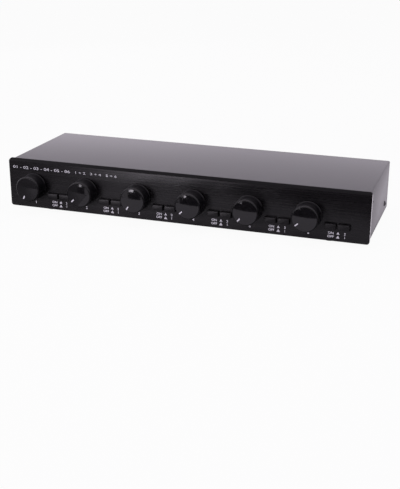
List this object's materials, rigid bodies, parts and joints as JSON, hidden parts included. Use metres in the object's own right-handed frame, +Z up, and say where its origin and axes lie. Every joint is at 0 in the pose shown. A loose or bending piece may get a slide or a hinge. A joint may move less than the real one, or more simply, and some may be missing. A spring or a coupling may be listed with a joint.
{
  "type": "speaker selector switch",
  "caption": "Flat free-standing loudspeaker zone selector: front plate with volume knobs and push buttons, sheet-metal case, and plug-in speaker terminals on its back.",
  "frame": {"origin": "on the floor under the middle of the object's box", "axes": "+X to the right seen from the front, +Y from the front plate towards the back panel, +Z up"},
  "size_m": [0.43, 0.1704, 0.0625],
  "materials": {
    "anodised_black": "brushed, black anodised",
    "zinc_steel": "zinc plated",
    "textured_black_paint": "fine satin texture paint",
    "circuit_board": "green solder mask",
    "switch_plastic": "moulded phenolic",
    "nickel_steel": "nickel plated",
    "black_steel": "black oxide",
    "lamination_steel": "varnished laminations",
    "copper_winding": "enamelled copper wire",
    "terminal_plastic": "moulded polyamide",
    "pin_brass": "tinned brass",
    "ribbon_plastic": "grey insulation",
    "foot_rubber": "moulded rubber",
    "shaft_aluminium": "turned",
    "gloss_black_plastic": "glossy, domed"
  },
  "bodies": {
    "case": {"faceplate": "anodised_black", "chassis_pan": "zinc_steel", "rear_panel": "textured_black_paint", "cover": "textured_black_paint", "main_board": "circuit_board", "switch_board": "circuit_board", "push_switches": "switch_plastic", "shaft_nuts": "nickel_steel", "lock_washers": "nickel_steel", "autoformer_cores": "lamination_steel", "autoformer_coils": "copper_winding", "terminal_headers": "terminal_plastic", "header_pins": "pin_brass", "ribbon_cables": "ribbon_plastic", "board_standoffs": "pin_brass", "board_screws": "nickel_steel", "rear_screws": "nickel_steel", "side_screws": "black_steel", "faceplate_screws": "nickel_steel", "rubber_feet": "foot_rubber", "foot_screws": "nickel_steel", "volume_control_1": "switch_plastic", "volume_control_2": "switch_plastic", "volume_control_3": "switch_plastic", "volume_control_4": "switch_plastic", "volume_control_5": "switch_plastic", "volume_control_6": "switch_plastic"},
    "volume_1": {"knob_1": "gloss_black_plastic", "control_shaft_1": "shaft_aluminium"},
    "volume_2": {"knob_2": "gloss_black_plastic", "control_shaft_2": "shaft_aluminium"},
    "volume_3": {"knob_3": "gloss_black_plastic", "control_shaft_3": "shaft_aluminium"},
    "volume_4": {"knob_4": "gloss_black_plastic", "control_shaft_4": "shaft_aluminium"},
    "volume_5": {"knob_5": "gloss_black_plastic", "control_shaft_5": "shaft_aluminium"},
    "volume_6": {"knob_6": "gloss_black_plastic", "control_shaft_6": "shaft_aluminium"},
    "power_1": {"power_button_1": "gloss_black_plastic"},
    "source_1": {"source_button_1": "gloss_black_plastic"},
    "power_2": {"power_button_2": "gloss_black_plastic"},
    "source_2": {"source_button_2": "gloss_black_plastic"},
    "power_3": {"power_button_3": "gloss_black_plastic"},
    "source_3": {"source_button_3": "gloss_black_plastic"},
    "power_4": {"power_button_4": "gloss_black_plastic"},
    "source_4": {"source_button_4": "gloss_black_plastic"},
    "power_5": {"power_button_5": "gloss_black_plastic"},
    "source_5": {"source_button_5": "gloss_black_plastic"},
    "power_6": {"power_button_6": "gloss_black_plastic"},
    "source_6": {"source_button_6": "gloss_black_plastic"},
    "output_wiring_1": {"output_plug_1": "terminal_plastic", "plug_clamps_1": "nickel_steel"},
    "output_wiring_2": {"output_plug_2": "terminal_plastic", "plug_clamps_2": "nickel_steel"},
    "output_wiring_3": {"output_plug_3": "terminal_plastic", "plug_clamps_3": "nickel_steel"},
    "input_wiring": {"input_plug": "terminal_plastic", "plug_clamps_4": "nickel_steel"}
  },
  "joints": [
    {"name": "volume_1_turn", "type": "hinge", "parent": "case", "child": "volume_1", "pos_m": [-0.1825, -0.07575, 0.0315], "axis": [0, 1, 0], "range_deg": [-1, 299]},
    {"name": "volume_2_turn", "type": "hinge", "parent": "case", "child": "volume_2", "pos_m": [-0.1165, -0.07575, 0.0315], "axis": [0, 1, 0], "range_deg": [-22, 278]},
    {"name": "volume_3_turn", "type": "hinge", "parent": "case", "child": "volume_3", "pos_m": [-0.0505, -0.07575, 0.0315], "axis": [0, 1, 0], "range_deg": [-8, 292]},
    {"name": "volume_4_turn", "type": "hinge", "parent": "case", "child": "volume_4", "pos_m": [0.0155, -0.07575, 0.0315], "axis": [0, 1, 0], "range_deg": [-21, 279]},
    {"name": "volume_5_turn", "type": "hinge", "parent": "case", "child": "volume_5", "pos_m": [0.0815, -0.07575, 0.0315], "axis": [0, 1, 0], "range_deg": [-14, 286]},
    {"name": "volume_6_turn", "type": "hinge", "parent": "case", "child": "volume_6", "pos_m": [0.1475, -0.07575, 0.0315], "axis": [0, 1, 0], "range_deg": [-27, 273]},
    {"name": "power_1_press", "type": "slide", "parent": "case", "child": "power_1", "axis": [0, 1, 0], "range_m": [0, 0.003], "stiffness_N_per_m": 400, "springref_m": -0.002},
    {"name": "source_1_press", "type": "slide", "parent": "case", "child": "source_1", "axis": [0, 1, 0], "range_m": [0, 0.003], "stiffness_N_per_m": 400, "springref_m": -0.002},
    {"name": "power_2_press", "type": "slide", "parent": "case", "child": "power_2", "axis": [0, 1, 0], "range_m": [0, 0.003], "stiffness_N_per_m": 400, "springref_m": -0.002},
    {"name": "source_2_press", "type": "slide", "parent": "case", "child": "source_2", "axis": [0, 1, 0], "range_m": [0, 0.003], "stiffness_N_per_m": 400, "springref_m": -0.002},
    {"name": "power_3_press", "type": "slide", "parent": "case", "child": "power_3", "axis": [0, 1, 0], "range_m": [0, 0.003], "stiffness_N_per_m": 400, "springref_m": -0.002},
    {"name": "source_3_press", "type": "slide", "parent": "case", "child": "source_3", "axis": [0, 1, 0], "range_m": [0, 0.003], "stiffness_N_per_m": 400, "springref_m": -0.002},
    {"name": "power_4_press", "type": "slide", "parent": "case", "child": "power_4", "axis": [0, 1, 0], "range_m": [0, 0.003], "stiffness_N_per_m": 400, "springref_m": -0.002},
    {"name": "source_4_press", "type": "slide", "parent": "case", "child": "source_4", "axis": [0, 1, 0], "range_m": [0, 0.003], "stiffness_N_per_m": 400, "springref_m": -0.002},
    {"name": "power_5_press", "type": "slide", "parent": "case", "child": "power_5", "axis": [0, 1, 0], "range_m": [0, 0.003], "stiffness_N_per_m": 400, "springref_m": -0.002},
    {"name": "source_5_press", "type": "slide", "parent": "case", "child": "source_5", "axis": [0, 1, 0], "range_m": [0, 0.003], "stiffness_N_per_m": 400, "springref_m": -0.002},
    {"name": "power_6_press", "type": "slide", "parent": "case", "child": "power_6", "axis": [0, 1, 0], "range_m": [0, 0.003], "stiffness_N_per_m": 400, "springref_m": -0.002},
    {"name": "source_6_press", "type": "slide", "parent": "case", "child": "source_6", "axis": [0, 1, 0], "range_m": [0, 0.003], "stiffness_N_per_m": 400, "springref_m": -0.002},
    {"name": "output_wiring_1_pull", "type": "slide", "parent": "case", "child": "output_wiring_1", "axis": [0, 1, 0], "range_m": [0, 0.012]},
    {"name": "output_wiring_2_pull", "type": "slide", "parent": "case", "child": "output_wiring_2", "axis": [0, 1, 0], "range_m": [0, 0.012]},
    {"name": "output_wiring_3_pull", "type": "slide", "parent": "case", "child": "output_wiring_3", "axis": [0, 1, 0], "range_m": [0, 0.012]},
    {"name": "input_wiring_pull", "type": "slide", "parent": "case", "child": "input_wiring", "axis": [0, 1, 0], "range_m": [0, 0.012]}
  ]
}
